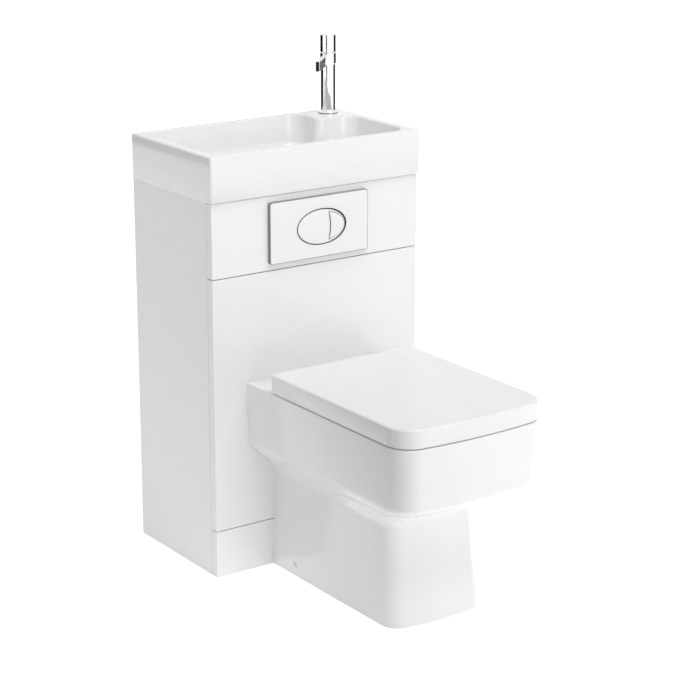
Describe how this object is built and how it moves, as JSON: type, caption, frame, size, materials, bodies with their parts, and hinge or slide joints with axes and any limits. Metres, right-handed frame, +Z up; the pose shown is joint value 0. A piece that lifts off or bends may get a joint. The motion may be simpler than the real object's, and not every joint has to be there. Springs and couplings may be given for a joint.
{
  "type": "toilet and basin combination unit",
  "caption": "White cabinet unit with a back-to-wall toilet pan and lid in front, an oval dual-flush button in its panel, and a shallow basin with a column tap on top.",
  "frame": {"origin": "centre of the bounding box on the floor", "axes": "+Z up; the front, where the pan stands out, faces -Y; +X to the right seen from the front"},
  "size_m": [0.506, 0.836, 1.0435],
  "materials": {
    "white_board": "gloss white foil over board",
    "raw_board": "raw particle board",
    "china": "gloss glaze",
    "white_plastic": "gloss",
    "grey_plastic": "satin",
    "chrome": "polished",
    "steel": "brushed",
    "brass": "turned",
    "rubber": "matte"
  },
  "bodies": {
    "unit": {"side_panel_left": "white_board", "side_panel_right": "white_board", "fascia_panel": "white_board", "front_panel": "white_board", "plinth_panel": "white_board", "top_rail_front": "white_board", "top_rail_back": "white_board", "back_rail_upper": "white_board", "front_rail_middle": "raw_board", "front_rail_lower": "raw_board", "cistern_shelf": "raw_board", "corner_blocks": "white_plastic", "panel_clips": "white_plastic", "wall_brackets": "steel", "basin": "china", "waste_body": "chrome", "waste_backnut": "white_plastic", "trap_body": "white_plastic", "trap_cup": "white_plastic", "waste_pipe": "white_plastic", "tap_body": "chrome", "tap_spout": "chrome", "tap_aerator": "steel", "tap_stud": "brass", "tap_clamp_nut": "brass", "hot_hose": "steel", "cold_hose": "steel", "flush_frame": "white_plastic", "flush_plate": "white_plastic", "cistern_tank": "white_plastic", "cistern_lid": "white_plastic", "lever_pin": "steel", "inlet_valve": "white_plastic", "inlet_backnut": "white_plastic", "flush_valve_base": "grey_plastic", "flush_backnut": "white_plastic", "flush_pipe": "white_plastic", "flush_cone_seal": "rubber", "pan": "china", "bowl_and_trap": "china", "pan_brackets": "white_plastic", "pan_fixing_screws": "white_plastic", "pan_connector": "white_plastic", "hinge_pillars": "chrome", "hinge_pins": "steel", "hinge_bolts": "steel"},
    "seat": {"seat_ring": "white_plastic", "seat_buffers": "rubber"},
    "lid": {"lid": "white_plastic", "lid_buffers": "white_plastic"},
    "full_button": {"full_flush_button": "white_plastic"},
    "half_button": {"half_flush_button": "white_plastic"},
    "full_lever": {"full_flush_lever": "grey_plastic"},
    "half_lever": {"half_flush_lever": "grey_plastic"},
    "full_valve": {"flush_valve_tube": "white_plastic"},
    "half_valve": {"half_flush_rod": "white_plastic"},
    "handle": {"tap_handle": "chrome"},
    "plug": {"waste_plug": "chrome"},
    "float": {"inlet_float": "grey_plastic"}
  },
  "joints": [
    {"name": "seat_hinge", "type": "hinge", "parent": "unit", "child": "seat", "pos_m": [0, 0.047, 0.424], "axis": [-1, 0, 0], "range_deg": [0, 91]},
    {"name": "lid_hinge", "type": "hinge", "parent": "seat", "child": "lid", "pos_m": [0, 0.047, 0.424], "axis": [1, 0, 0], "range_deg": [-93, 0]},
    {"name": "full_button_slide", "type": "slide", "parent": "unit", "child": "full_button", "axis": [0, 1, 0], "range_m": [0, 0.005], "stiffness_N_per_m": 400, "springref_m": -0.004},
    {"name": "full_lever_hinge", "type": "hinge", "parent": "unit", "child": "full_lever", "pos_m": [-0.005, 0.183, 0.7305], "axis": [1, 0, 0], "range_deg": [0, 11.46]},
    {"name": "full_valve_slide", "type": "slide", "parent": "unit", "child": "full_valve", "axis": [0, 0, 1], "range_m": [0, 0.008]},
    {"name": "half_button_slide", "type": "slide", "parent": "unit", "child": "half_button", "axis": [0, 1, 0], "range_m": [0, 0.005], "stiffness_N_per_m": 400, "springref_m": -0.004},
    {"name": "half_lever_hinge", "type": "hinge", "parent": "unit", "child": "half_lever", "pos_m": [0.038, 0.183, 0.7305], "axis": [1, 0, 0], "range_deg": [0, 11.46]},
    {"name": "half_valve_slide", "type": "slide", "parent": "unit", "child": "half_valve", "axis": [0, 0, 1], "range_m": [0, 0.008]},
    {"name": "tap_handle_turn", "type": "hinge", "parent": "unit", "child": "handle", "pos_m": [0.2085, 0.378, 1.005], "axis": [0, 0, 1], "range_deg": [0, 90]},
    {"name": "waste_plug_slide", "type": "slide", "parent": "unit", "child": "plug", "axis": [0, 0, 1], "range_m": [0, 0.008]},
    {"name": "inlet_float_slide", "type": "slide", "parent": "unit", "child": "float", "axis": [0, 0, 1], "range_m": [-0.12, 0]}
  ],
  "couplings": [
    {"joint": "full_lever_hinge", "follows": "full_button_slide", "rad_per_m": 40},
    {"joint": "full_valve_slide", "follows": "full_button_slide", "ratio": 1.6},
    {"joint": "half_lever_hinge", "follows": "half_button_slide", "rad_per_m": 40},
    {"joint": "half_valve_slide", "follows": "half_button_slide", "ratio": 1.6}
  ]
}
